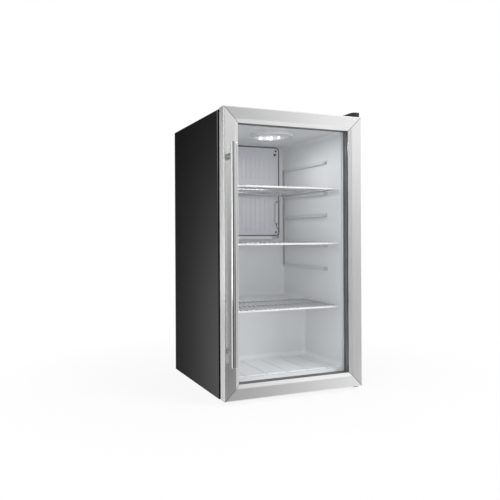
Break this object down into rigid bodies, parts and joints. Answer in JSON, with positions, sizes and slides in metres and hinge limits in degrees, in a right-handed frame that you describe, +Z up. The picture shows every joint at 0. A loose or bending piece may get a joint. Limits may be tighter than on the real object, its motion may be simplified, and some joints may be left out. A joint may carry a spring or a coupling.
{
  "type": "bar fridge",
  "caption": "Upright bar fridge with a brushed-steel framed glass door, tube handle, black cabinet, wire shelves and a rear compressor bay.",
  "frame": {"origin": "on the floor under the middle of the whole object's box", "axes": "+Z up, +Y from the door towards the back, +X to the right of someone facing the door"},
  "size_m": [0.45, 0.5465, 0.8495],
  "materials": {
    "black_steel": "satin",
    "galvanised": "spangled zinc",
    "foam": "rigid foam",
    "white_liner": "smooth",
    "black_enamel": "gloss enamel",
    "grey_rubber": "matte",
    "black_rubber": "matte",
    "black_plastic": "fine texture",
    "dark_plastic": "satin",
    "copper": "drawn",
    "zinc_screws": "zinc plated",
    "evaporator": "satin coating",
    "clear_lens": "prismatic",
    "led_board": "solder mask",
    "led": "lit",
    "stainless": "brushed",
    "dark_metal": "satin",
    "pane": "clear",
    "spacer": "anodised dark",
    "shelf_chrome": "bright"
  },
  "bodies": {
    "cabinet": {"cabinet_wrap": "black_steel", "top_hinge_bracket": "black_steel", "bottom_hinge_bracket": "black_steel", "rear_panel": "galvanised", "bay_shroud": "galvanised", "floor_pan": "galvanised", "compressor_tray": "galvanised", "control_plate": "galvanised", "insulation": "foam", "inner_liner": "white_liner", "drip_gutter": "white_liner", "lamp_base": "white_liner", "evaporator_standoffs": "white_liner", "compressor_can": "black_enamel", "compressor_base": "black_enamel", "condenser_coil": "black_enamel", "condenser_wires": "black_enamel", "compressor_grommets": "black_rubber", "cord_gland": "black_rubber", "rear_feet": "black_rubber", "hinge_cover": "black_plastic", "relay_box": "black_plastic", "thermostat_body": "black_plastic", "condenser_brackets": "black_plastic", "foot_sockets": "black_plastic", "discharge_pipe": "copper", "suction_pipe": "copper", "filter_drier": "copper", "capillary_tube": "copper", "sensor_tube": "copper", "compressor_bolts": "zinc_screws", "rear_screws": "zinc_screws", "evaporator_screws": "zinc_screws", "hinge_screws": "zinc_screws", "top_hinge_pin": "zinc_screws", "bottom_hinge_pin": "zinc_screws", "evaporator_plate": "evaporator", "sensor_clip": "evaporator", "lamp_lens": "clear_lens", "led_board": "led_board", "lamp_leds": "led"},
    "door": {"door_rail_top": "stainless", "door_rail_bottom": "stainless", "door_stile_handle": "stainless", "door_stile_hinge": "stainless", "corner_keys": "black_plastic", "outer_glass": "pane", "inner_glass": "pane", "glass_spacer": "spacer", "door_liner": "dark_plastic", "door_gasket": "grey_rubber", "handle_bar": "stainless", "handle_posts": "dark_metal", "hinge_bushes": "black_plastic"},
    "upper_shelf": {"shelf_upper": "shelf_chrome"},
    "middle_shelf": {"shelf_middle": "shelf_chrome"},
    "lower_shelf": {"shelf_lower": "shelf_chrome"},
    "left_foot": {"front_foot_left": "black_rubber"},
    "right_foot": {"front_foot_right": "black_rubber"},
    "knob": {"thermostat_knob": "black_plastic"}
  },
  "joints": [
    {"name": "door_swing", "type": "hinge", "parent": "cabinet", "child": "door", "pos_m": [0.211, -0.20625, 0.4], "axis": [0, 0, 1], "range_deg": [0, 120]},
    {"name": "upper_shelf_slide", "type": "slide", "parent": "cabinet", "child": "upper_shelf", "axis": [0, -1, 0], "range_m": [0, 0.012]},
    {"name": "middle_shelf_slide", "type": "slide", "parent": "cabinet", "child": "middle_shelf", "axis": [0, -1, 0], "range_m": [0, 0.012]},
    {"name": "lower_shelf_slide", "type": "slide", "parent": "cabinet", "child": "lower_shelf", "axis": [0, -1, 0], "range_m": [0, 0.012]},
    {"name": "left_foot_screw", "type": "slide", "parent": "cabinet", "child": "left_foot", "axis": [0, 0, -1], "range_m": [0, 0.01]},
    {"name": "right_foot_screw", "type": "slide", "parent": "cabinet", "child": "right_foot", "axis": [0, 0, -1], "range_m": [0, 0.01]},
    {"name": "knob_turn", "type": "hinge", "parent": "cabinet", "child": "knob", "pos_m": [0.15, 0.23675, 0.174], "axis": [0, 1, 0], "range_deg": [0, 280]}
  ]
}
